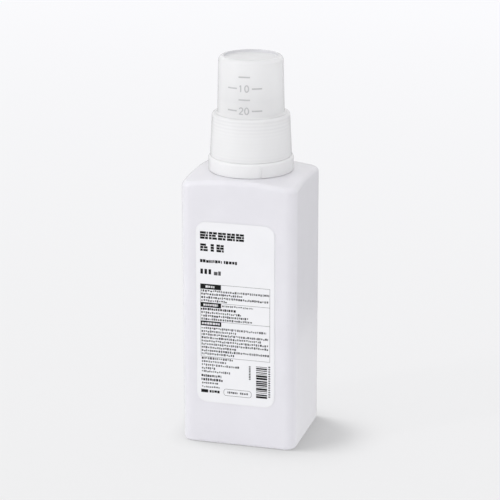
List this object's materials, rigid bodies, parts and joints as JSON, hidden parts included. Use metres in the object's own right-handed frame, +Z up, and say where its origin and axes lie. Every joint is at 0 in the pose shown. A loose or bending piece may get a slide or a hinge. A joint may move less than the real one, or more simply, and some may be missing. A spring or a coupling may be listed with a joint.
{
  "type": "laundry detergent bottle",
  "caption": "Oblong refillable detergent bottle with a screw-on pouring spout that drains back and a marked measuring cup that closes it.",
  "frame": {"origin": "middle of the footprint, on the surface that the bottle stands on", "axes": "+Z up along the axis of neck, spout and cap; the label faces -Y; +X to the right as the label is read"},
  "size_m": [0.063, 0.0557, 0.2095],
  "materials": {
    "bottle_plastic": "translucent white, fine matte",
    "label_film": "coated white, printed in dark grey",
    "spout_plastic": "translucent white, satin",
    "cap_plastic": "translucent white, satin"
  },
  "bodies": {
    "bottle": {"bottle": "bottle_plastic", "front_label": "label_film"},
    "pouring_spout": {"pouring_spout": "spout_plastic"},
    "measuring_cap": {"measuring_cap": "cap_plastic"}
  },
  "joints": [
    {"name": "spout_lift", "type": "slide", "parent": "bottle", "child": "pouring_spout", "axis": [0, 0, 1], "range_m": [0, 0.02]},
    {"name": "cap_lift", "type": "slide", "parent": "pouring_spout", "child": "measuring_cap", "axis": [0, 0, 1], "range_m": [0, 0.04]}
  ]
}
